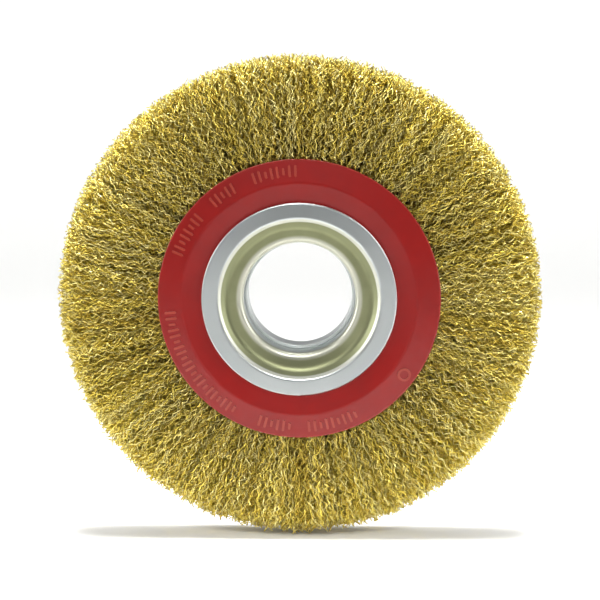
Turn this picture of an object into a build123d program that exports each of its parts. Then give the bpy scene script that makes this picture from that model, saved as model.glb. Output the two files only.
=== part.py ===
from build123d import *
import math
import os

# Crimped-wire wheel brush for a bench grinder, in millimetres.
# The wheel turns about Y, its front face looks along -Y, +Z is up, and the origin is the wheel's centre.
# Every turned or pressed piece is drawn as a section of radius (sketch x) against distance out from
# the wheel's mid-plane (sketch y), as for the rear side. The front side is its mirror image.

# The whole wheel
WHEEL_D = 150.0  # over the wire tips
HUB_WIDTH = 20.0  # between the two clamping faces
BORE_D = 32.0  # the arbor bore

# Hub flanges: two zinc-plated pressings whose necks are pressed one inside the other.
# Their widths add up from the bore to the flange's rim.
FLANGE_SHEET = 1.2
RECESS_FLOOR_WIDTH = 6.2  # from the bore to the foot of the recess's wall
RECESS_WALL_WIDTH = 3.0
CLAMP_RING_WIDTH = 4.8  # flat ring that a clamping washer bears on
RECESS_FLOOR_DROP = 0.6
RECESS_WALL_DROP = 2.0
RECESS_BEND = 4.0
SHOULDER_INSIDE_BEND = 0.3
THROAT_INSIDE_BEND = 0.4
FRONT_NECK_END_GAP = 1.2  # from the outer neck's end to the back of the rear flange's recess
REAR_NECK_PAST_MIDDLE = 0.3
NECK_INTERFERENCE = 0.02  # on the radius, where the necks are pressed together
SHEET_EDGE = 0.35

# Face plates: two red-lacquered dished pressings that hold the wires from both sides.
# Their widths add up from the hub flange's rim to their own rim.
PLATE_SHEET = 1.0
PLATE_HOLE_GAP = 1.2  # from the flange's shoulder to the edge of the plate's hole
SEAT_LEDGE = 0.6  # flat part of the plate past the edge of the hub flange
INNER_BAND_WIDTH = 5.6  # rises from the seat to the ridge
OUTER_BAND_WIDTH = 7.3  # falls from the ridge to the rim
RIDGE_RISE = 0.9
RIM_FALL = 1.1
RIDGE_BEND = 3.0
SEAT_BEND = 1.5
PLATE_EDGE = 0.25

# Raised marks on the plates' outer band: plain ribs in groups and one ring, with no lettering
RIB_LENGTH = 3.6
SHORT_RIB_LENGTH = 2.2
RIB_WIDTH = 0.75
RIB_PITCH = 1.85
RIB_RELIEF = 0.25
RIB_ROOT = 0.4
RIB_GROUPS = ((101.0, 8), (126.0, 5), (150.0, 8), (213.0, 21), (259.0, 6), (285.0, 9))
RING_MARK_ANGLE = 324.0
RING_MARK_D = 4.2

# Keeper ring: the steel hoop that every wire is hooked round
KEEPER_WIRE_D = 3.0
KEEPER_DEPTH = 2.8  # from the wires' inner end to the middle of the ring

# Wire fill, in bunches of equal angle threaded on the keeper ring
BUNCHES = 24
BUNCH_GAP_DEG = 0.1
ROOT_GAP = 0.4  # from the edge of the plates' hole to the wires' inner end
KEEPER_CLEARANCE = 0.15
PLATE_CLEARANCE = 0.25  # between the wires and the inside of the plates' dished part
FLARE_PROUD = 0.3  # how far the wires stand past the clamping faces where they are widest
FLARE_SHARE = 0.6  # the widest place, as a share of the way from the plates' rim to the tips
FLARE_CURVE = 0.8  # how much of the flare is reached half-way to the widest place
CROWN_DROP = 1.6  # how far the sides have come in where the tip's rounding starts
CROWN_DEPTH = 4.0
TIP_WIDTH = 11.6

# Radii, from the axis outwards
WHEEL_R = WHEEL_D / 2
BORE_R = BORE_D / 2
OUTER_NECK_R = BORE_R + FLANGE_SHEET - NECK_INTERFERENCE  # inside of the outer neck
RECESS_FOOT_R = BORE_R + RECESS_FLOOR_WIDTH
SHOULDER_R = RECESS_FOOT_R + RECESS_WALL_WIDTH
FLANGE_R = SHOULDER_R + CLAMP_RING_WIDTH
SEAT_R = FLANGE_R + SEAT_LEDGE
RIDGE_R = SEAT_R + INNER_BAND_WIDTH
PLATE_R = RIDGE_R + OUTER_BAND_WIDTH
PLATE_HOLE_R = SHOULDER_R + PLATE_HOLE_GAP
WIRE_ROOT_R = PLATE_HOLE_R + ROOT_GAP
KEEPER_RING_R = WIRE_ROOT_R + KEEPER_DEPTH

# Distances out from the wheel's mid-plane
HUB_FACE = HUB_WIDTH / 2
RECESS_WALL_FOOT = HUB_FACE - RECESS_WALL_DROP
THROAT = RECESS_WALL_FOOT - RECESS_FLOOR_DROP
FRONT_NECK_PAST_MIDDLE = THROAT - FLANGE_SHEET - FRONT_NECK_END_GAP
PLATE_SEAT = HUB_FACE - FLANGE_SHEET  # the outer face of a plate where its flange clamps it
PLATE_BACK = PLATE_SEAT - PLATE_SHEET
RIDGE = PLATE_SEAT + RIDGE_RISE
PLATE_RIM = RIDGE - RIM_FALL


def ring_of(section):
    """A full turn of a section about the wheel's axis."""
    return revolve(section, Axis.Y)


def sheet_section(path, thickness):
    """The section of a pressed sheet whose visible face follows the path, with its metal behind it."""
    return make_face(offset(path, amount=thickness, side=Side.RIGHT, closed=True))


def outermost(corners, count):
    """The few corners of a section that are furthest from the wheel's axis."""
    return corners.sort_by(Axis.X)[-count:]


def hub_flange(neck_r, neck_past_middle):
    """A flat clamping ring, a recess and a neck, pressed from one sheet."""
    path = FilletPolyline(
        (neck_r, -neck_past_middle),
        (neck_r, THROAT),
        (RECESS_FOOT_R, RECESS_WALL_FOOT),
        (SHOULDER_R, HUB_FACE),
        (FLANGE_R, HUB_FACE),
        radius=[THROAT_INSIDE_BEND + FLANGE_SHEET, RECESS_BEND, SHOULDER_INSIDE_BEND + FLANGE_SHEET],
    )
    section = sheet_section(path, FLANGE_SHEET)
    rim_corners = outermost(section.vertices(), 2)
    neck_corners = section.vertices().sort_by(Axis.Y)[:2]
    section = fillet(rim_corners + neck_corners, SHEET_EDGE)
    return ring_of(section)


def band_plane(radius, angle):
    """A plane on the plate's sloping outer band, x down the slope and z out of the face."""
    slope = math.atan2(RIM_FALL, OUTER_BAND_WIDTH)
    height = RIDGE - (radius - RIDGE_R) * math.tan(slope)
    turn = math.radians(angle)
    outward = Vector(math.cos(turn), 0, math.sin(turn))
    axial = Vector(0, 1, 0)
    down_slope = outward * math.cos(slope) - axial * math.sin(slope)
    normal = outward * math.sin(slope) + axial * math.cos(slope)
    return Plane(outward * radius + axial * height, x_dir=down_slope, z_dir=normal)


def raised(outline, plane):
    """A low mark with the given outline, rooted in the sheet."""
    return extrude(plane.offset(-RIB_ROOT) * outline, amount=RIB_ROOT + RIB_RELIEF)


def plate_marks():
    """Groups of radial ribs, every third one short, and one ring."""
    radius = (RIDGE_R + PLATE_R) / 2
    step = math.degrees(RIB_PITCH / radius)
    marks = []
    for middle, count in RIB_GROUPS:
        for i in range(count):
            angle = middle + (i - (count - 1) / 2) * step
            length = SHORT_RIB_LENGTH if i % 3 == 2 else RIB_LENGTH
            marks.append(raised(SlotOverall(length, RIB_WIDTH), band_plane(radius, angle)))
    ring = Circle(RING_MARK_D / 2) - Circle(RING_MARK_D / 2 - RIB_WIDTH)
    marks.append(raised(ring, band_plane(radius, RING_MARK_ANGLE)))
    return marks


def face_plate():
    """A dished annular pressing: flat seat, a ridge, then an outer band that falls to the rim."""
    path = FilletPolyline(
        (PLATE_HOLE_R, PLATE_SEAT),
        (SEAT_R, PLATE_SEAT),
        (RIDGE_R, RIDGE),
        (PLATE_R, PLATE_RIM),
        radius=[SEAT_BEND, RIDGE_BEND],
    )
    section = sheet_section(path, PLATE_SHEET)
    section = fillet(outermost(section.vertices(), 2), PLATE_EDGE)
    return ring_of(section) + plate_marks()


def keeper_ring():
    """A plain hoop of round steel."""
    return ring_of(Pos(KEEPER_RING_R, 0) * Circle(KEEPER_WIRE_D / 2))


def wire_section():
    """The outline of the wire fill: clamped at the root, flared past the plates, crowned at the tips."""
    inside_plates = PLATE_RIM - PLATE_SHEET - PLATE_CLEARANCE
    widest = HUB_FACE + FLARE_PROUD
    widest_r = PLATE_R + FLARE_SHARE * (WHEEL_R - PLATE_R)
    half = [
        (WIRE_ROOT_R, PLATE_BACK),
        (SEAT_R, PLATE_BACK),
        (RIDGE_R, inside_plates),
        (PLATE_R + PLATE_CLEARANCE, inside_plates),
        ((PLATE_R + widest_r) / 2, inside_plates + FLARE_CURVE * (widest - inside_plates)),
        (widest_r, widest),
        (WHEEL_R - CROWN_DEPTH, widest - CROWN_DROP),
        (WHEEL_R, TIP_WIDTH / 2),
    ]
    other_half = [(r, -y) for r, y in reversed(half)]
    return make_face(Polyline(*half, *other_half, close=True))


def wire_bunch():
    """One bunch, starting at +X and turning towards +Z, with the keeper ring's path through its root."""
    angle = 360 / BUNCHES - BUNCH_GAP_DEG
    bunch = revolve(wire_section(), Axis.Y, revolution_arc=-angle)
    ring_path = ring_of(Pos(KEEPER_RING_R, 0) * Circle(KEEPER_WIRE_D / 2 + KEEPER_CLEARANCE))
    return bunch - ring_path


def front(piece):
    """The mirror image of a rear piece, on the front side."""
    return mirror(piece, about=Plane.XZ)


nodes = {
    "front_hub_flange": front(hub_flange(OUTER_NECK_R, FRONT_NECK_PAST_MIDDLE)),
    "rear_hub_flange": hub_flange(BORE_R, REAR_NECK_PAST_MIDDLE),
    "front_face_plate": front(face_plate()),
    "rear_face_plate": face_plate(),
    "keeper_ring": keeper_ring(),
}
first_bunch = wire_bunch()
for i in range(BUNCHES):
    turn = i * 360 / BUNCHES + BUNCH_GAP_DEG / 2
    nodes[f"wire_bunch_{i + 1:02d}"] = Rot(0, -turn, 0) * first_bunch

os.makedirs("parts", exist_ok=True)
for name, piece in nodes.items():
    export_step(piece, f"parts/{name}.step")
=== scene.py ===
"""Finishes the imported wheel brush: crimped brass-coated wires, plated hub, lacquered plates and a studio.

Everything is in metres, in the wheel's own frame: the wheel turns about Y, its front face looks along -Y,
+Z is up and the origin is the wheel's centre.
"""
import math

import bmesh
import bpy
import numpy as np
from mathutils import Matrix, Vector


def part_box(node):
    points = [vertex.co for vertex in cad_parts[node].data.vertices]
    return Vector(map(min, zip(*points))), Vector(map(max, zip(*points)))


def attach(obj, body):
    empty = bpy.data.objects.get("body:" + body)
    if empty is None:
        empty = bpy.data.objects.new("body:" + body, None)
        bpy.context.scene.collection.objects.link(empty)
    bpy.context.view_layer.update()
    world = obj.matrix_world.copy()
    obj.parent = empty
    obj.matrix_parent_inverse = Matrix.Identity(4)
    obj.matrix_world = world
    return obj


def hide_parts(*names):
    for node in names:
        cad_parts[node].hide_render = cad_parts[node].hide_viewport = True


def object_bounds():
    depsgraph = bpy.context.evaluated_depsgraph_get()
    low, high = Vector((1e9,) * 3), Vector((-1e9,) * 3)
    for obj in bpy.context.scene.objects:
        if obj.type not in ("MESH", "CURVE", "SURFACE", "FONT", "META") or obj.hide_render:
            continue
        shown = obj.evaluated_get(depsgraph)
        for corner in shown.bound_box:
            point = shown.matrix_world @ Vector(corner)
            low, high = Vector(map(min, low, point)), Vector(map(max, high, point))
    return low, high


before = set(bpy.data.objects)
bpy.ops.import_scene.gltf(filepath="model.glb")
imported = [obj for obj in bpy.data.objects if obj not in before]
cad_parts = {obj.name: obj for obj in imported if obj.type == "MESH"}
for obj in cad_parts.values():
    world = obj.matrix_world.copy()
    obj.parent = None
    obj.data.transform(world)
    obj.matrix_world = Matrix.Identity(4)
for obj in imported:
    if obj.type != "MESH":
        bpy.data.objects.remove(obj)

bl_info = {
    "name": "Wheel Brush Finisher",
    "version": (1, 0, 0),
    "blender": (4, 5, 0),
    "location": "3D View > Sidebar > Wheel Brush",
    "description": "Threads a wheel brush with crimped wires, finishes its pressings and sets a studio",
    "category": "Object",
}

MM = 0.001
BODY = "root"
CAD_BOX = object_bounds()

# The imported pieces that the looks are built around
WIRE_BUNCHES = sorted(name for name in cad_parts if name.startswith("wire_bunch_"))
HUB_FLANGES = ("front_hub_flange", "rear_hub_flange")
FACE_PLATES = ("front_face_plate", "rear_face_plate")
KEEPER_RING = "keeper_ring"

WHEEL_R = CAD_BOX[1].x
FILL_HALF_WIDTH = CAD_BOX[1].y
PLATE_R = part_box("front_face_plate")[1].x
PLATE_TOP_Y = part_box("rear_face_plate")[1].y
PLATE_BACK_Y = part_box("rear_face_plate")[0].y
KEEPER_OUTER_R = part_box(KEEPER_RING)[1].x
KEEPER_HALF_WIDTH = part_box(KEEPER_RING)[1].y

# The plates' outer band falls evenly from a ridge to the rim. So a point's distance from the mid-plane plus
# the slope times its radius is about BAND_LEVEL all over the bare band, and more on a raised mark
BAND_FALL = 1.1 * MM
BAND_WIDTH = 7.3 * MM
BAND_SLOPE = BAND_FALL / BAND_WIDTH
BAND_LEVEL = PLATE_TOP_Y - BAND_FALL + BAND_SLOPE * PLATE_R


def linear(code):
    """An sRGB hex colour as the linear red, green and blue that shaders work in."""
    channels = [int(code[i:i + 2], 16) / 255 for i in (1, 3, 5)]
    return tuple(c / 12.92 if c <= 0.04045 else ((c + 0.055) / 1.055) ** 2.4 for c in channels)


# ---------------------------------------------------------------- settings


def length(name, description, default):
    """A length that the user can change, given in millimetres and kept in metres."""
    return bpy.props.FloatProperty(name=name, description=description, default=default * MM,
                                   subtype="DISTANCE", unit="LENGTH", precision=5)


def colour(name, description, code):
    """A colour that the user can change, given as sRGB hex."""
    return bpy.props.FloatVectorProperty(name=name, description=description, default=linear(code),
                                         subtype="COLOR", size=3, min=0.0, max=1.0)


class WireSettings(bpy.types.PropertyGroup):
    """The crimped wires."""

    wires_per_bunch: bpy.props.IntProperty(
        name="Wires per bunch", description="Wire legs in each bunch", default=560, min=1)
    wire_d: length("Wire diameter", "Real wire is 0.3; it is drawn thicker so that strands show", 0.4)
    crimp_pitch: length("Crimp pitch", "From one crimp to the next on the same side", 3.0)
    crimp_height: length("Crimp height", "Peak to peak height of the crimp", 1.4)
    stray: length("Stray", "How far a wire's tip strays from a straight spoke", 1.3)
    drift: length("Drift", "How far neighbouring wires gather into tufts", 0.26)
    weave: length("Weave", "How far a wire goes over and under its neighbours", 0.9)
    rim_gap: length("Rim gap", "How far wires pull together beside the plates' rim", 0.38)
    crown_depth: length("Crown depth", "How much shorter the outermost wires are", 4.2)
    tip_scatter: length("Tip scatter", "Unevenness of the cut tips", 0.8)
    seed: bpy.props.IntProperty(name="Seed", description="Start of the random draws", default=7)
    pale: colour("Pale brass", "Brass coating where it is thin and clean", "#FFF4AA")
    golden: colour("Golden brass", "The usual colour of the coating", "#F2DC62")
    dull: colour("Dull brass", "Coating that has begun to tarnish", "#CCB150")
    # Painted shade: the tone that darkens the coating towards the plates
    root_shade: colour("Unrubbed brass", "Coating near the plates, which the work never rubs", "#8C7434")
    # Painted shade: the tone that darkens wires deeper in the fill towards their roots
    deep_shade: colour("Grimed brass", "Coating deep in the fill, dark with oil and dust", "#2E2814")


class HubSettings(bpy.types.PropertyGroup):
    """The plated hub flanges."""

    turned_zinc: colour("Turned zinc", "The flat ring, faced after plating", "#C8CDCD")
    passivate: colour("Olive passivate", "Yellow passivate in the pressed recess", "#8F9270")
    passivate_deep: colour("Deep passivate", "The same film where it pooled thicker", "#7F8160")
    # The next four tones are painted light: the pale floor, the near-white throat and the pale shoulder are
    # painted highlights, and the darker wall is painted shade
    painted_light_tone: colour("Rubbed floor", "The recess's floor near the bore, rubbed pale", "#C4C4B4")
    throat_highlight: colour("Polished throat", "The bend into the neck, rubbed through the film", "#F4F4EE")
    shoulder_highlight: colour("Shoulder", "The bend into the flat ring, rubbed pale", "#C0C1B6")
    wall: colour("Recess wall", "Passivate on the recess's sloping wall", "#7D8062")
    neck: colour("Neck wall", "Plating inside the bore", "#CDD1CF")
    ring_radius: length("Ring radius", "Where the faced flat ring begins", 25.05)
    shoulder_radius: length("Shoulder radius", "Where the bend into the flat ring begins", 24.1)
    wall_radius: length("Wall radius", "Where the recess's wall begins", 22.2)
    # The next two radii bound the painted highlights on the recess's floor and on the bend into the neck
    floor_highlight_radius: length("Rubbed radius", "Where the recess's rubbed floor ends", 19.2)
    throat_radius: length("Throat radius", "Where the polished bend into the neck begins", 17.1)
    neck_depth: length("Neck depth", "How far the neck's wall reaches from the mid-plane", 5.9)
    turning_pitch: length("Turning pitch", "Spacing of the facing cuts on the flat ring", 0.35)
    cloud_size: length("Cloud size", "Size of the film's cloudy patches", 9.0)
    grain_size: length("Grain size", "Size of the pressed sheet's grain under the plating", 0.5)


class PlateSettings(bpy.types.PropertyGroup):
    """The lacquered face plates."""

    lacquer: colour("Lacquer", "Body colour of the stoving lacquer", "#830E0A")
    # Also a painted highlight: the raised marks take on this paler red
    thin_lacquer_and_highlight: colour("Thin lacquer", "Where the lacquer ran thin over edges and marks", "#AE5240")
    orange_peel: length("Orange peel", "Size of the ripple left as the lacquer flowed out", 1.4)
    cloud_size: length("Cloud size", "Size of the patches where the coat is a little darker", 14.0)


class KeeperSettings(bpy.types.PropertyGroup):
    """The keeper ring inside the fill."""

    steel: colour("Drawn steel", "Bare drawn steel under a film of oil", "#8E8C88")
    draw_pitch: length("Draw pitch", "Spacing of the die lines along the ring", 0.4)
    stain_size: length("Stain size", "Size of the oil's darker patches", 6.0)


class StudioSettings(bpy.types.PropertyGroup):
    """The floor, lights and camera."""

    floor: colour("Floor", "A plain pale floor", "#F4F4F2")
    floor_size: length("Floor size", "Radius of the floor", 8000.0)
    azimuth: bpy.props.FloatProperty(
        name="Azimuth", description="Camera's turn round the wheel", default=math.radians(1.5),
        subtype="ANGLE", unit="ROTATION")
    elevation: bpy.props.FloatProperty(
        name="Elevation", description="Camera's height above the horizon", default=math.radians(10.5),
        subtype="ANGLE", unit="ROTATION")
    distance: length("Distance", "From the camera to the wheel", 1800.0)
    lens: bpy.props.FloatProperty(
        name="Lens", description="Focal length in millimetres", default=350.6, subtype="DISTANCE_CAMERA")
    aim_right: length("Aim right", "How far right of the wheel's centre the camera looks", 0.0)
    aim_down: length("Aim down", "How far below the wheel's centre the camera looks", 1.9)


# ---------------------------------------------------------------- materials


def add_node(tree, kind, settings=None, **links):
    """Adds one node. settings are its own properties; links are input values, or sockets to join to inputs.
    An input is named by its label, with spaces as underscores, or as in_NUMBER where labels repeat."""
    node = tree.nodes.new(kind)
    for key, value in (settings or {}).items():
        setattr(node, key, value)
    for key, value in links.items():
        socket = node.inputs[int(key[3:])] if key.startswith("in_") else node.inputs[key.replace("_", " ")]
        if isinstance(value, bpy.types.NodeSocket):
            tree.links.new(value, socket)
        else:
            socket.default_value = value
    return node


def new_material(name):
    """An empty node material, with its tree and output node."""
    material = bpy.data.materials.new(name)
    material.use_nodes = True
    material.node_tree.nodes.clear()
    output = add_node(material.node_tree, "ShaderNodeOutputMaterial")
    return material, material.node_tree, output


def rgba(settings_colour):
    return (*settings_colour, 1.0)


def place_on_wheel(tree):
    """The point, its distance from the axle and its distance from the mid-plane."""
    point = add_node(tree, "ShaderNodeTexCoord").outputs["Object"]
    flat = add_node(tree, "ShaderNodeVectorMath", {"operation": "MULTIPLY"}, in_0=point, in_1=(1, 0, 1))
    radius = add_node(tree, "ShaderNodeVectorMath", {"operation": "LENGTH"}, in_0=flat.outputs[0])
    parts = add_node(tree, "ShaderNodeSeparateXYZ", in_0=point)
    depth = add_node(tree, "ShaderNodeMath", {"operation": "ABSOLUTE"}, in_0=parts.outputs["Y"])
    return point, radius.outputs["Value"], depth.outputs[0]


def fade(tree, value, start, end):
    """0 before start and 1 past end, with a smooth step between. start may be the larger."""
    step = add_node(tree, "ShaderNodeMapRange", {"interpolation_type": "SMOOTHSTEP"},
                    Value=value, From_Min=start, From_Max=end)
    return step.outputs["Result"]


def above(tree, value, edge, blur):
    """1 above the edge and 0 below it, with a smooth step that reaches blur to either side."""
    return fade(tree, value, edge - blur, edge + blur)


def below(tree, value, edge, blur):
    """1 below the edge and 0 above it, with a smooth step that reaches blur to either side."""
    return fade(tree, value, edge + blur, edge - blur)


def darker(settings_colour, share):
    """The same colour with only a share of its light."""
    return (*(channel * share for channel in settings_colour), 1.0)


def mixed(tree, factor, first, second):
    """Two colours mixed by a factor."""
    mix = add_node(tree, "ShaderNodeMix", {"data_type": "RGBA"})
    for socket, value in ((mix.inputs[0], factor), (mix.inputs[6], first), (mix.inputs[7], second)):
        if isinstance(value, bpy.types.NodeSocket):
            tree.links.new(value, socket)
        else:
            socket.default_value = value
    return mix.outputs[2]


# Places along a wire for its finish, from 0 at the keeper ring to 1 at the wheel's own radius
# Where the painted shade towards the plates begins, and where it is full
ROOT_SHADE_FROM, ROOT_SHADE_TO = 0.9, 0.25
# Where the painted shade deep in the fill begins, and where it is full
DEEP_SHADE_FROM, DEEP_SHADE_TO = 0.65, 0.3
ROOT_SHADE_SHARE = 0.42  # how far the painted shade towards the plates darkens the coating at most
TARNISH = 0.25  # how far a tarnished streak takes on the dull tone
STREAKS_ALONG = 30.0  # streaks in a wire's length


def brass_coated_wire(settings):
    """Brass-coated steel wire, drawn and crimped between gears. Each wire keeps its own shade of brass,
    and the crimp shows as bright dashes because the coating is a smooth bare metal. Towards the plates
    the coating is darkened as painted shade, and the wires deeper in the fill get more painted shade
    towards their roots."""
    material, tree, output = new_material("brass_coated_wire")
    place = add_node(tree, "ShaderNodeUVMap", {"uv_map": WIRE_MAP}).outputs["UV"]
    parts = add_node(tree, "ShaderNodeSeparateXYZ", in_0=place)
    grouped = add_node(tree, "ShaderNodeMath", {"operation": "MULTIPLY"}, in_0=parts.outputs["X"],
                       in_1=DEPTHS)
    own = add_node(tree, "ShaderNodeMath", {"operation": "FRACT"}, in_0=grouped.outputs[0])
    shade = add_node(tree, "ShaderNodeValToRGB", Fac=own.outputs[0])
    ramp = shade.color_ramp
    ramp.elements[0].color = rgba(settings.dull)
    ramp.elements[1].color = rgba(settings.pale)
    ramp.elements.new(0.35).color = rgba(settings.golden)
    streaks = add_node(tree, "ShaderNodeTexNoise", Vector=place, Scale=STREAKS_ALONG, Detail=2.0)
    streak = fade(tree, streaks.outputs["Fac"], 0.35, 0.75)
    tarnished = mixed(tree, TARNISH, shade.outputs["Color"], rgba(settings.dull))
    streaked = mixed(tree, streak, shade.outputs["Color"], tarnished)
    along = parts.outputs["Y"]
    # Painted shade: the coating darkens from near the tips towards the plates
    inward = fade(tree, along, ROOT_SHADE_FROM, ROOT_SHADE_TO)
    root_shade = add_node(tree, "ShaderNodeMath", {"operation": "MULTIPLY"}, in_0=inward,
                        in_1=ROOT_SHADE_SHARE)
    painted_light_tone = mixed(tree, root_shade.outputs[0], streaked, rgba(settings.root_shade))
    # Painted shade: core wires, and half as much the wires beneath the face, darken towards their roots
    depth = add_node(tree, "ShaderNodeMath", {"operation": "FLOOR"}, in_0=grouped.outputs[0])
    buried = add_node(tree, "ShaderNodeMapRange", Value=depth.outputs[0], From_Min=DEPTHS - 1, From_Max=0.0)
    deep = fade(tree, along, DEEP_SHADE_FROM, DEEP_SHADE_TO)
    deep_shade_share = add_node(tree, "ShaderNodeMath", {"operation": "MULTIPLY"}, in_0=buried.outputs[0], in_1=deep)
    surface = mixed(tree, deep_shade_share.outputs[0], painted_light_tone, rgba(settings.deep_shade))
    roughness = add_node(tree, "ShaderNodeMapRange", Value=streak, To_Min=0.28, To_Max=0.38)
    shader = add_node(tree, "ShaderNodeBsdfPrincipled", Base_Color=surface, Metallic=1.0,
                      Roughness=roughness.outputs["Result"])
    tree.links.new(shader.outputs[0], output.inputs["Surface"])
    return material


def plated_hub(settings):
    """Zinc-plated deep-drawn steel with a yellow passivate. The flat ring is faced in a lathe, which cuts
    through the film to bright metal with fine rings; the recess keeps its cloudy olive film. Pale bands
    on the recess's floor near the bore and on the bends into the neck and the flat ring are painted
    highlights, and the darker olive on the recess's sloping wall is painted shade."""
    material, tree, output = new_material("zinc_plate_faced_and_passivated")
    point, radius, depth = place_on_wheel(tree)

    cloud = add_node(tree, "ShaderNodeTexNoise", Vector=point, Scale=1 / settings.cloud_size, Detail=3.0)
    film = mixed(tree, fade(tree, cloud.outputs["Fac"], 0.2, 0.9), rgba(settings.passivate),
                 rgba(settings.passivate_deep))
    # Painted shade: a darker olive on the recess's sloping wall
    on_wall = above(tree, radius, settings.wall_radius, 0.4 * MM)
    film = mixed(tree, on_wall, film, rgba(settings.wall))
    # Painted highlight: a pale tone on the recess's floor near the bore
    on_floor = below(tree, radius, settings.floor_highlight_radius, 0.6 * MM)
    film = mixed(tree, on_floor, film, rgba(settings.painted_light_tone))
    # Painted highlight: the bend into the neck is near white
    in_throat = below(tree, radius, settings.throat_radius, 0.3 * MM)
    film = mixed(tree, in_throat, film, rgba(settings.throat_highlight))
    in_neck = below(tree, depth, settings.neck_depth, 0.5 * MM)
    film = mixed(tree, in_neck, film, rgba(settings.neck))
    # Painted highlight: a pale band on the bend into the flat ring
    on_shoulder = above(tree, radius, settings.shoulder_radius, 0.2 * MM)
    film = mixed(tree, on_shoulder, film, rgba(settings.shoulder_highlight))
    on_ring = above(tree, radius, settings.ring_radius, 0.15 * MM)
    surface = mixed(tree, on_ring, film, rgba(settings.turned_zinc))

    ring_place = add_node(tree, "ShaderNodeCombineXYZ", X=radius)
    cuts = add_node(tree, "ShaderNodeTexNoise", Vector=ring_place.outputs[0],
                    Scale=1 / settings.turning_pitch, Detail=2.0)
    grain = add_node(tree, "ShaderNodeTexNoise", Vector=point, Scale=1 / settings.grain_size, Detail=3.0)
    relief = add_node(tree, "ShaderNodeMix", {"data_type": "FLOAT"}, in_0=on_ring,
                      in_2=grain.outputs["Fac"], in_3=cuts.outputs["Fac"])
    bump = add_node(tree, "ShaderNodeBump", Strength=0.1, Distance=0.02 * MM, Height=relief.outputs[0])
    satin = add_node(tree, "ShaderNodeMapRange", Value=relief.outputs[0], To_Min=0.34, To_Max=0.48)
    faced = add_node(tree, "ShaderNodeMapRange", Value=relief.outputs[0], To_Min=0.27, To_Max=0.35)
    roughness = add_node(tree, "ShaderNodeMix", {"data_type": "FLOAT"}, in_0=on_ring,
                         in_2=satin.outputs["Result"], in_3=faced.outputs["Result"])
    lay = add_node(tree, "ShaderNodeTangent", {"direction_type": "RADIAL", "axis": "Y"})
    shader = add_node(tree, "ShaderNodeBsdfPrincipled", Base_Color=surface, Metallic=1.0, Anisotropic=0.5,
                      Roughness=roughness.outputs[0], Normal=bump.outputs["Normal"],
                      Tangent=lay.outputs["Tangent"])
    tree.links.new(shader.outputs[0], output.inputs["Surface"])
    return material


MARK_HIGHLIGHT_SHARE = 0.4  # how far a raised mark takes on the paler red, as a painted highlight


def red_stoving_lacquer(settings):
    """Red stoving lacquer, sprayed on pressed steel and baked. It is glossy with a faint orange peel, and
    it thins to a paler red over the plate's edge. The raised marks get the same paler red as a painted
    highlight."""
    material, tree, output = new_material("red_stoving_lacquer")
    point, radius, depth = place_on_wheel(tree)
    cloud = add_node(tree, "ShaderNodeTexNoise", Vector=point, Scale=1 / settings.cloud_size, Detail=2.0)
    tone = fade(tree, cloud.outputs["Fac"], 0.3, 0.75)
    body = mixed(tree, tone, rgba(settings.lacquer), darker(settings.lacquer, 0.88))
    on_edge = above(tree, radius, PLATE_R - 0.25 * MM, 0.2 * MM)
    worn = add_node(tree, "ShaderNodeMath", {"operation": "MULTIPLY"}, in_0=on_edge,
                    in_1=cloud.outputs["Fac"])
    body = mixed(tree, worn.outputs[0], body, rgba(settings.thin_lacquer_and_highlight))
    level = add_node(tree, "ShaderNodeMath", {"operation": "MULTIPLY_ADD"}, in_0=radius, in_1=BAND_SLOPE,
                     in_2=depth)
    # Painted highlight: the raised marks are given the paler red
    on_mark = above(tree, level.outputs[0], BAND_LEVEL + 0.13 * MM, 0.07 * MM)
    mark_highlight = add_node(tree, "ShaderNodeMath", {"operation": "MULTIPLY"}, in_0=on_mark, in_1=MARK_HIGHLIGHT_SHARE)
    surface = mixed(tree, mark_highlight.outputs[0], body, rgba(settings.thin_lacquer_and_highlight))
    peel = add_node(tree, "ShaderNodeTexNoise", Vector=point, Scale=1 / settings.orange_peel, Detail=1.0)
    bump = add_node(tree, "ShaderNodeBump", Strength=0.3, Distance=0.03 * MM, Height=peel.outputs["Fac"])
    roughness = add_node(tree, "ShaderNodeMapRange", Value=cloud.outputs["Fac"], To_Min=0.27, To_Max=0.33)
    shader = add_node(tree, "ShaderNodeBsdfPrincipled", Base_Color=surface, Metallic=0.0, IOR=1.46,
                      Roughness=roughness.outputs["Result"], Normal=bump.outputs["Normal"])
    tree.links.new(shader.outputs[0], output.inputs["Surface"])
    return material


def bare_drawn_steel(settings):
    """Bare drawn steel rod, bent into a hoop: grey, slightly oily, with fine lines left by the die."""
    material, tree, output = new_material("bare_drawn_steel")
    point, radius, depth = place_on_wheel(tree)
    section_place = add_node(tree, "ShaderNodeCombineXYZ", X=radius, Y=depth)
    lines = add_node(tree, "ShaderNodeTexNoise", Vector=section_place.outputs[0],
                     Scale=1 / settings.draw_pitch, Detail=2.0)
    stain = add_node(tree, "ShaderNodeTexNoise", Vector=point, Scale=1 / settings.stain_size, Detail=3.0)
    surface = mixed(tree, fade(tree, stain.outputs["Fac"], 0.4, 0.8), rgba(settings.steel),
                    darker(settings.steel, 0.6))
    bump = add_node(tree, "ShaderNodeBump", Strength=0.3, Distance=0.02 * MM, Height=lines.outputs["Fac"])
    roughness = add_node(tree, "ShaderNodeMapRange", Value=lines.outputs["Fac"], To_Min=0.3, To_Max=0.5)
    shader = add_node(tree, "ShaderNodeBsdfPrincipled", Base_Color=surface, Metallic=1.0,
                      Roughness=roughness.outputs["Result"], Normal=bump.outputs["Normal"])
    tree.links.new(shader.outputs[0], output.inputs["Surface"])
    return material


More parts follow.
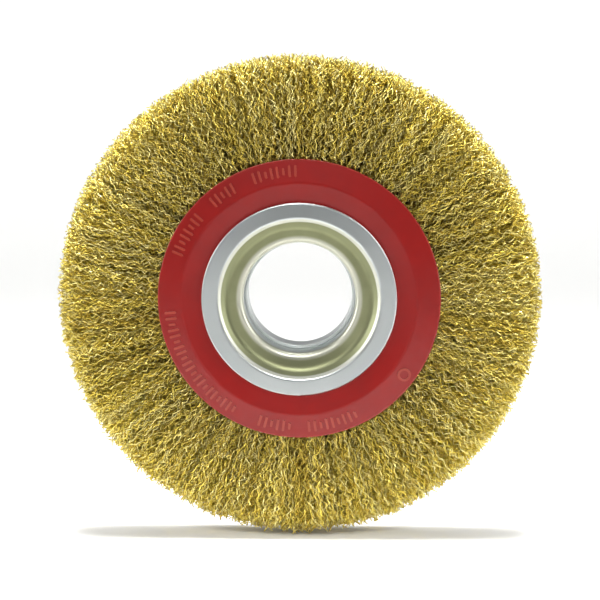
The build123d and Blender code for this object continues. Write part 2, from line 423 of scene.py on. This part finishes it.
def pale_floor(settings):
    """A matt painted board: almost white, with a barely visible unevenness."""
    material, tree, output = new_material("matt_pale_floor")
    point = add_node(tree, "ShaderNodeTexCoord").outputs["Object"]
    cloud = add_node(tree, "ShaderNodeTexNoise", Vector=point, Scale=3.0, Detail=1.0)
    surface = mixed(tree, cloud.outputs["Fac"], rgba(settings.floor), darker(settings.floor, 0.98))
    shader = add_node(tree, "ShaderNodeBsdfDiffuse", Color=surface)
    tree.links.new(shader.outputs[0], output.inputs["Surface"])
    return material


def dress(node_name, material):
    """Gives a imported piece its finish."""
    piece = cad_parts[node_name]
    if not piece.material_slots:
        piece.data.materials.append(material)
    for slot in piece.material_slots:
        slot.material = material


# ---------------------------------------------------------------- crimped wires

WIRE_MAP = "OFBake"  # across is the wire's own shade, along is its radius, from root to tip
SHADES = 48  # each has a column of the map
DEPTHS = 3  # the shades are in three equal groups: wires in the core, beneath the face, and at the face
FACE_DEPTHS = (0.0, 0.5, 0.8)  # where each group starts, as a share of the fill's half width
SIDES = 3
SECTION_R = 0.58  # a three-sided wire's corner radius, in diameters of the round wire that it stands for
CAP_SHARE = 0.02  # how much of the map's length each end of the wires takes

# Where the wires run
CRIMPS_FROM_R = PLATE_R - 2.5 * MM  # they are straight further in, where the plates squeeze them
CORE_CRIMPS_FROM_R = PLATE_R + 0.6 * (WHEEL_R - PLATE_R)  # deep in the fill they only show near their tips
ROOT_OVERLAP = 2 * KEEPER_HALF_WIDTH + 0.5 * MM  # wires beside the keeper ring reach in past its whole rod
SQUEEZED_HALF_WIDTH = PLATE_BACK_Y - 0.1 * MM  # a little room inside the plates' sheet
PACKED_HALF_WIDTH = FILL_HALF_WIDTH - 1.1 * MM  # at the widest place; crimps and weave take up the rest
WIDEST_SHARE = 0.6  # where that is, as a share of the way from the plates' rim to the tips
NARROWING = 2.5 * MM  # how much the fill narrows past that place, for each whole length of free wire
TIP_ROOM = 0.25 * MM  # from the longest wires' tips to the wheel's own radius
ROUNDED_FROM = 0.5  # where the crown's rounding begins, as a share of the fill's half width
CROWN_CURVE = 1.6  # how late the crown's rounding gathers pace
USUAL_SHORTFALL = 2.0  # how much shorter than the longest a wire usually is, in tip scatters

# How they bend
LEAST_SWINGS, MOST_SWINGS = 1.0, 2.6  # slow swings in a wire's free length
SWING_SIZE = 0.35  # the slow swing's size, as a share of the lean's at the tips
LEAN_CURVE = 1.3  # how late a wire's lean gathers pace
STRAY_IN_WIDTH = 0.4  # the stray in the fill's width, as a share of the stray round the wheel
LEAST_WEAVE, MOST_WEAVE = 1 / (9 * MM), 1 / (5 * MM)  # how often a wire goes over and under, per metre
WEAVE_RUN_IN = 3 * MM  # how far past the first crimp the weave reaches its full size
WEAVE_SIDEWAYS = 0.5  # the weave round the wheel, as a share of the weave in the fill's width
GAP_CLOSING = 2.2  # the gaps beside the rim have closed at one part in this of the way to the tips
UNEVEN_CRIMP = 0.45  # spread of the crimps' heights, as a share of the height
UNEVEN_PITCH = 0.12  # spread of the bends' places along a wire, as a share of half the pitch
JITTER = 0.15 * MM  # spread of the bends' places to the side
FLATTENED = 0.8  # tufts and crimps are smaller in the fill's width, where the plates hold the wires


def straight_wire(bends):
    """One straight wire of unit radius along Z, one section per unit of height, closed at both ends."""
    wire = bmesh.new()
    bmesh.ops.create_circle(wire, cap_ends=False, segments=SIDES, radius=1.0)
    edges = list(wire.edges)
    for _ in range(bends + 1):
        made = bmesh.ops.extrude_edge_only(wire, edges=edges)["geom"]
        bmesh.ops.translate(wire, verts=[g for g in made if isinstance(g, bmesh.types.BMVert)],
                            vec=(0, 0, 1))
        edges = [g for g in made if isinstance(g, bmesh.types.BMEdge)]
    bmesh.ops.holes_fill(wire, edges=[e for e in wire.edges if e.is_boundary], sides=0)
    bmesh.ops.recalc_face_normals(wire, faces=wire.faces)
    map_wire(wire, bends + 1)
    mesh = bpy.data.meshes.new("straight_wire")
    wire.to_mesh(mesh)
    wire.free()
    return mesh


def map_wire(wire, height):
    """Lays the sides in strips and both ends in small patches, so that every face has room on the map."""
    layer = wire.loops.layers.uv.new(WIRE_MAP)
    for face in wire.faces:
        face.smooth = True
        middle = face.calc_center_median()
        is_cap = len(face.verts) == SIDES
        strip = math.floor((math.atan2(middle.y, middle.x) % math.tau) / math.tau * SIDES)
        for i, loop in enumerate(face.loops):
            turn = (math.atan2(loop.vert.co.y, loop.vert.co.x) % math.tau) / math.tau * SIDES
            along = CAP_SHARE + loop.vert.co.z / height * (1 - 2 * CAP_SHARE)
            if is_cap:  # one corner is moved along, so that the patch has an area
                loop[layer].uv = (i / SIDES, along if i == 1 else round(along))
            else:
                loop[layer].uv = ((strip + round(turn - strip) % SIDES) / SIDES, along)


def fill_half_width(radius):
    """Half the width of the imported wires: squeezed at the plates' rim, widest further out, and drawn in
    again at the tips."""
    squeezed = SQUEEZED_HALF_WIDTH - 0.3 * MM
    outward = (radius - PLATE_R) / (WHEEL_R - PLATE_R)
    flare = np.clip(outward / WIDEST_SHARE, 0, 1)
    past = np.clip(outward - WIDEST_SHARE, 0, 1)
    return squeezed + (PACKED_HALF_WIDTH - squeezed) * (1 - (1 - flare) ** 2) - past * NARROWING


def waves(seed, count, least_turns, most_turns, ripple_across, ripple_outward):
    """A few sine waves over angle, width and radius, which add up to one smooth field over the whole wheel.
    They go a whole number of times round it. The ripples are their steepest phases per metre elsewhere."""
    rng = np.random.default_rng(seed)
    around = rng.integers(least_turns, most_turns, count)
    across = rng.uniform(-ripple_across, ripple_across, count)
    outward = rng.uniform(-ripple_outward, ripple_outward, count)
    phase = rng.uniform(0, math.tau, count)
    return tuple(zip(around, across, outward, phase))


def field(made_waves, angle, width, radius):
    """The waves' sum at each point, about -1.5 to 1.5."""
    total = sum(np.sin(around * angle + across * width + outward * radius + phase)
                for around, across, outward, phase in made_waves)
    return total * math.sqrt(2 / len(made_waves))


def wandering(rng, grown):
    """How each wire strays by itself: a lean that grows outwards and a slow swing. Its size is about 1."""
    count = len(grown)
    turns = rng.uniform(LEAST_SWINGS, MOST_SWINGS, (count, 1))
    swing = turns * grown * math.tau + rng.uniform(0, math.tau, (count, 1))
    lean = rng.normal(0, 1, (count, 1)) * grown ** LEAN_CURVE
    return lean + SWING_SIZE * (np.sin(swing) - np.sin(swing[:, :1]))


def weaving(rng, radius):
    """How each wire goes over and under its neighbours. It starts with the crimps, and is at most 1."""
    count = len(radius)
    turns_per_metre = rng.uniform(LEAST_WEAVE, MOST_WEAVE, (count, 1))
    crimped = np.clip(radius - CRIMPS_FROM_R, 0, None)
    swing = np.sin(crimped * turns_per_metre * math.tau + rng.uniform(0, math.tau, (count, 1)))
    return swing * np.clip(crimped / WEAVE_RUN_IN, 0, 1)


def bend_radii(settings, edge, crimps_from_r, bends, rng):
    """The radius of each wire's bends, from where its crimps begin to its tip. The crown's rounding makes
    the wires near the fill's edges shorter."""
    count = len(edge)
    tip_r = WHEEL_R - TIP_ROOM - settings.crown_depth * edge ** CROWN_CURVE
    tip_r = tip_r - settings.tip_scatter * np.abs(rng.normal(USUAL_SHORTFALL, 1.0, (count, 1)))
    share = np.linspace(0, 1, bends + 1)
    radius = crimps_from_r + (tip_r - crimps_from_r) * share
    uneven = rng.normal(0, UNEVEN_PITCH, (count, bends + 1)) * settings.crimp_pitch / 2
    return radius + uneven * (share < 1)


def gathering(settings, angle, width, radius, grown):
    """How far neighbours move together, sideways and in width: they gather into tufts, which are largest
    two thirds of the way out, and they part into small gaps beside the plates' rim."""
    tufts = [waves([settings.seed, 1, i], count=9, least_turns=20, most_turns=80,
                   ripple_across=0.9 / MM, ripple_outward=0.9 / MM) for i in range(2)]
    gaps = [waves([settings.seed, 2, i], count=6, least_turns=130, most_turns=260,
                  ripple_across=0.25 / MM, ripple_outward=2.0 / MM) for i in range(2)]
    tuft = settings.drift * (0.35 + 0.65 * np.sin(grown * math.pi * 0.75))
    gap = settings.rim_gap * np.clip(1 - GAP_CLOSING * grown, 0, 1)
    place = angle, width, radius
    sideways = tuft * field(tufts[0], *place) + gap * field(gaps[0], *place)
    in_width = FLATTENED * tuft * field(tufts[1], *place) + gap * field(gaps[1], *place)
    return sideways, in_width


def crimping(settings, count, bends, rng):
    """How far each bend stands off its wire's middle line, sideways and in width. A wire's crimps go to
    one side and the other in a plane of its own."""
    shape = (count, bends + 1)
    side = np.where(np.arange(bends + 1) % 2, 0.5, -0.5)
    height = settings.crimp_height * side * (1 + rng.normal(0, UNEVEN_CRIMP, shape))
    plane = rng.uniform(0, math.tau, (count, 1))
    sideways = height * np.cos(plane) + rng.normal(0, JITTER, shape)
    in_width = FLATTENED * height * np.sin(plane) + rng.normal(0, JITTER, shape)
    return sideways, in_width


def wire_paths(settings, angle, across, crimps_from_r, bends, rng):
    """The middle line of each wire, as its radius, sideways and width at each bend. It starts at the root,
    which lies beside the keeper ring, or stops short of the ring where the wire would run into it."""
    edge = np.clip((np.abs(across) - ROUNDED_FROM) / (1 - ROUNDED_FROM), 0, 1)
    radius = bend_radii(settings, edge, crimps_from_r, bends, rng)
    grown = np.clip((radius - CRIMPS_FROM_R) / (WHEEL_R - CRIMPS_FROM_R), 0, 1)
    width = across * fill_half_width(radius)

    sideways, gathered = gathering(settings, angle, width, radius, grown)
    width = width + gathered * (1 - 0.5 * edge)  # the outermost wires keep the faces even
    sideways = sideways + settings.stray * wandering(rng, grown)
    sideways = sideways + WEAVE_SIDEWAYS * settings.weave * weaving(rng, radius)
    width = width + STRAY_IN_WIDTH * settings.stray * wandering(rng, grown)
    width = width + settings.weave * weaving(rng, radius)
    crimp_sideways, crimp_in_width = crimping(settings, len(angle), bends, rng)
    sideways = sideways + crimp_sideways
    width = width + crimp_in_width

    room = settings.wire_d / 2
    limit = np.where(radius < PLATE_R, SQUEEZED_HALF_WIDTH, FILL_HALF_WIDTH) - room
    width = np.clip(width, -limit, limit)
    root_width = np.clip(width[:, :1], room - SQUEEZED_HALF_WIDTH, SQUEEZED_HALF_WIDTH - room)
    clears_keeper = np.abs(root_width) > KEEPER_HALF_WIDTH + settings.wire_d
    root_r = np.where(clears_keeper, KEEPER_OUTER_R - ROOT_OVERLAP, KEEPER_OUTER_R + settings.wire_d)
    return (np.hstack([root_r, radius]), np.hstack([sideways[:, :1], sideways]),
            np.hstack([root_width, width]))


def bend(settings, points, angle, paths, rng):
    """Moves the points of straight wires, one row for each wire, to the wires' bent paths.
    It gives the new points and each point's radius on its wire's middle line."""
    section = np.rint(points[..., 2]).astype(int)
    radius, sideways, width = (np.take_along_axis(path, section, 1) for path in paths)
    roll = rng.uniform(0, math.tau, (len(angle), 1))
    thick = settings.wire_d * SECTION_R
    sideways = sideways + thick * (points[..., 0] * np.cos(roll) - points[..., 1] * np.sin(roll))
    width = width + thick * (points[..., 0] * np.sin(roll) + points[..., 1] * np.cos(roll))
    placed = np.stack([
        radius * np.cos(angle) - sideways * np.sin(angle),
        width,
        radius * np.sin(angle) + sideways * np.cos(angle),
    ], axis=-1)
    return placed, radius


def crimped_bunch(settings, number, kinds, material):
    """One bunch: copies of the straight wires, each bent along its own path, in one piece."""
    rng = np.random.default_rng([settings.seed, number])
    count = settings.wires_per_bunch
    angle = (number + rng.uniform(0, 1, (count, 1))) * math.tau / len(WIRE_BUNCHES)
    across = rng.uniform(-1, 1, (count, 1))
    depth = np.searchsorted(FACE_DEPTHS, np.abs(across[:, 0])) - 1
    on_face = depth > 0
    bunch = bmesh.new()
    for (wire, _, _), chosen in zip(kinds, (on_face, ~on_face)):
        for _ in range(chosen.sum()):
            bunch.from_mesh(wire)
    mesh = bpy.data.meshes.new(f"crimped_wires_{number + 1:02d}")
    bunch.to_mesh(mesh)
    bunch.free()

    points = np.zeros((len(mesh.vertices), 3), np.float32)
    mesh.vertices.foreach_get("co", points.ravel())
    point_radius = np.zeros(len(points))
    shade = np.zeros(len(points), int)
    start = 0
    for (wire, crimps_from_r, bends), chosen in zip(kinds, (on_face, ~on_face)):
        wires = chosen.sum()
        end = start + wires * len(wire.vertices)
        straight = points[start:end].reshape(wires, len(wire.vertices), 3)
        paths = wire_paths(settings, angle[chosen], across[chosen], crimps_from_r, bends, rng)
        placed, radius = bend(settings, straight, angle[chosen], paths, rng)
        points[start:end] = placed.reshape(-1, 3)
        point_radius[start:end] = radius.ravel()
        own = depth[chosen] * (SHADES // DEPTHS) + rng.integers(0, SHADES // DEPTHS, wires)
        shade[start:end] = np.repeat(own, len(wire.vertices))
        start = end
    mesh.vertices.foreach_set("co", points.ravel())
    lay_map(mesh, point_radius, shade)
    mesh.update()
    mesh.materials.append(material)
    piece = bpy.data.objects.new(mesh.name, mesh)
    bpy.context.scene.collection.objects.link(piece)
    return piece


def lay_map(mesh, point_radius, shade):
    """Moves each wire's strip to the column of its own shade, and stretches it to the wire's true radii."""
    corners = np.zeros(len(mesh.loops), np.int32)
    mesh.loops.foreach_get("vertex_index", corners)
    layer = mesh.uv_layers[WIRE_MAP].data
    uv = np.zeros((len(corners), 2), np.float32)
    layer.foreach_get("uv", uv.ravel())
    uv[:, 0] = (shade[corners] + uv[:, 0]) / SHADES
    outward = (point_radius[corners] - KEEPER_OUTER_R) / (WHEEL_R - KEEPER_OUTER_R)
    along = CAP_SHARE + np.clip(outward, 0, 1) * (1 - 2 * CAP_SHARE)
    on_cap = (uv[:, 1] == 0) | (uv[:, 1] == 1)
    uv[:, 1] = np.where(on_cap, uv[:, 1], along)
    layer.foreach_set("uv", uv.ravel())


# ---------------------------------------------------------------- studio


FLOOR_ROOM = 0.3 * MM  # from the longest tips to the floor


def soft_box(name, place, target, wide, high, power, spread):
    """A rectangular soft light at a place, turned to a target, with its spread in degrees.
    It is never in the picture itself."""
    light = bpy.data.lights.new(name, "AREA")
    light.shape = "RECTANGLE"
    light.size = wide
    light.size_y = high
    light.energy = power
    light.spread = math.radians(spread)
    lamp = bpy.data.objects.new(name, light)
    lamp.location = place
    lamp.rotation_euler = (Vector(target) - Vector(place)).to_track_quat("-Z", "Y").to_euler()
    lamp.visible_camera = False
    bpy.context.scene.collection.objects.link(lamp)


def horizon_glow(dim, glow):
    """A dim studio with a bright band round the horizon, except in front of the wheel."""
    world = bpy.data.worlds.new("studio_walls")
    bpy.context.scene.world = world
    world.use_nodes = True
    tree = world.node_tree
    tree.nodes.clear()
    direction = add_node(tree, "ShaderNodeTexCoord").outputs["Generated"]
    parts = add_node(tree, "ShaderNodeSeparateXYZ", in_0=direction)
    height = add_node(tree, "ShaderNodeMath", {"operation": "ABSOLUTE"}, in_0=parts.outputs["Z"])
    band = fade(tree, height.outputs[0], 0.35, 0.05)
    behind = fade(tree, parts.outputs["Y"], -0.1, 0.4)
    lit = add_node(tree, "ShaderNodeMath", {"operation": "MULTIPLY"}, in_0=band, in_1=behind)
    strength = add_node(tree, "ShaderNodeMapRange", Value=lit.outputs[0], To_Min=dim, To_Max=glow)
    background = add_node(tree, "ShaderNodeBackground", Color=(0.97, 0.98, 1.0, 1.0),
                          Strength=strength.outputs["Result"])
    output = add_node(tree, "ShaderNodeOutputWorld")
    tree.links.new(background.outputs[0], output.inputs["Surface"])


# ---------------------------------------------------------------- operators


class WHEELBRUSH_OT_wires(bpy.types.Operator):
    """Thread the wheel with crimped brass-coated wires, one piece for each bunch"""

    bl_idname = "wheelbrush.wires"
    bl_label = "Crimped Wires"

    def execute(self, context):
        settings = context.scene.wheelbrush_wires
        kinds = []  # a straight wire, where its crimps begin and its bends, near the faces and in the core
        for crimps_from_r in (CRIMPS_FROM_R, CORE_CRIMPS_FROM_R):
            bends = round((WHEEL_R - crimps_from_r) / (settings.crimp_pitch / 2))
            kinds.append((straight_wire(bends), crimps_from_r, bends))
        material = brass_coated_wire(settings)
        for number, bunch_node in enumerate(WIRE_BUNCHES):
            piece = crimped_bunch(settings, number, kinds, material)
            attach(piece, BODY)
            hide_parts(bunch_node)
        for wire, _, _ in kinds:
            bpy.data.meshes.remove(wire)
        return {"FINISHED"}


class WHEELBRUSH_OT_hub(bpy.types.Operator):
    """Finish both hub flanges in zinc plate, faced bright on the clamping ring"""

    bl_idname = "wheelbrush.hub"
    bl_label = "Plated Hub"

    def execute(self, context):
        material = plated_hub(context.scene.wheelbrush_hub)
        for name in HUB_FLANGES:
            dress(name, material)
        return {"FINISHED"}


class WHEELBRUSH_OT_plates(bpy.types.Operator):
    """Finish both face plates in red stoving lacquer"""

    bl_idname = "wheelbrush.plates"
    bl_label = "Lacquered Plates"

    def execute(self, context):
        material = red_stoving_lacquer(context.scene.wheelbrush_plates)
        for name in FACE_PLATES:
            dress(name, material)
        return {"FINISHED"}


class WHEELBRUSH_OT_keeper(bpy.types.Operator):
    """Finish the keeper ring in bare drawn steel"""

    bl_idname = "wheelbrush.keeper"
    bl_label = "Keeper Ring"

    def execute(self, context):
        dress(KEEPER_RING, bare_drawn_steel(context.scene.wheelbrush_keeper))
        return {"FINISHED"}


class WHEELBRUSH_OT_studio(bpy.types.Operator):
    """Set the floor, the lights and the camera"""

    bl_idname = "wheelbrush.studio"
    bl_label = "Studio"

    def execute(self, context):
        settings = context.scene.wheelbrush_studio
        self.make_floor(settings)
        self.make_lights()
        self.make_camera(context, settings)
        context.scene.view_settings.view_transform = "Standard"
        return {"FINISHED"}

    def make_floor(self, settings):
        form = bmesh.new()
        bmesh.ops.create_circle(form, cap_ends=True, segments=96, radius=settings.floor_size)
        bmesh.ops.translate(form, verts=form.verts, vec=(0, 0, CAD_BOX[0].z - FLOOR_ROOM))
        mesh = bpy.data.meshes.new("floor")
        form.to_mesh(mesh)
        form.free()
        mesh.materials.append(pale_floor(settings))
        floor = bpy.data.objects.new("floor", mesh)
        bpy.context.scene.collection.objects.link(floor)

    def make_lights(self):
        horizon_glow(dim=0.16, glow=0.95)
        floor_z = CAD_BOX[0].z
        centre = (0, 0, 0)
        soft_box("softbox_overhead", place=(0.0, 0.02, 1.2), target=(0, 0.02, floor_z),
                 wide=0.6, high=0.45, power=1.2, spread=20)
        soft_box("softbox_front", place=(0.0, -1.3, 0.85), target=centre,
                 wide=0.9, high=0.5, power=0.8, spread=30)
        soft_box("softbox_left", place=(-1.4, -0.5, 0.35), target=centre,
                 wide=0.6, high=0.9, power=1.6, spread=60)
        soft_box("softbox_right", place=(1.4, -0.5, 0.35), target=centre,
                 wide=0.6, high=0.9, power=1.5, spread=60)
        soft_box("softbox_background", place=(0.0, 1.35, 1.6), target=(0, 1.35, floor_z),
                 wide=2.6, high=2.0, power=17.0, spread=60)

    def make_camera(self, context, settings):
        lens = bpy.data.cameras.new("camera")
        lens.sensor_width = 36.0
        lens.lens = settings.lens
        camera = bpy.data.objects.new("camera", lens)
        a, e = settings.azimuth, settings.elevation
        back = Vector((math.sin(a) * math.cos(e), -math.cos(a) * math.cos(e), math.sin(e)))
        right = Vector((math.cos(a), math.sin(a), 0))
        up = back.cross(right)
        aim = right * settings.aim_right - up * settings.aim_down
        camera.location = aim + back * settings.distance
        camera.rotation_euler = (-back).to_track_quat("-Z", "Y").to_euler()
        context.scene.collection.objects.link(camera)
        context.scene.camera = camera


class WHEELBRUSH_PT_panel(bpy.types.Panel):
    """The wheel brush's pieces, in the order they are made"""

    bl_idname = "WHEELBRUSH_PT_panel"
    bl_label = "Wheel Brush"
    bl_space_type = "VIEW_3D"
    bl_region_type = "UI"
    bl_category = "Wheel Brush"

    def draw(self, context):
        for operator, settings in STEPS:
            box = self.layout.box()
            group = getattr(context.scene, f"wheelbrush_{settings}")
            for name in group.__annotations__:
                box.prop(group, name)
            box.operator(operator.bl_idname)


STEPS = (
    (WHEELBRUSH_OT_wires, "wires"),
    (WHEELBRUSH_OT_hub, "hub"),
    (WHEELBRUSH_OT_plates, "plates"),
    (WHEELBRUSH_OT_keeper, "keeper"),
    (WHEELBRUSH_OT_studio, "studio"),
)
GROUPS = {
    "wheelbrush_wires": WireSettings,
    "wheelbrush_hub": HubSettings,
    "wheelbrush_plates": PlateSettings,
    "wheelbrush_keeper": KeeperSettings,
    "wheelbrush_studio": StudioSettings,
}
CLASSES = (*GROUPS.values(), *(operator for operator, _ in STEPS), WHEELBRUSH_PT_panel)


def register():
    for made_class in CLASSES:
        bpy.utils.register_class(made_class)
    for name, group in GROUPS.items():
        setattr(bpy.types.Scene, name, bpy.props.PointerProperty(type=group))


def unregister():
    for name in GROUPS:
        delattr(bpy.types.Scene, name)
    for made_class in reversed(CLASSES):
        bpy.utils.unregister_class(made_class)


def main():
    register()
    bpy.ops.wheelbrush.wires()
    bpy.ops.wheelbrush.hub()
    bpy.ops.wheelbrush.plates()
    bpy.ops.wheelbrush.keeper()
    bpy.ops.wheelbrush.studio()


if __name__ == "__main__":
    main()
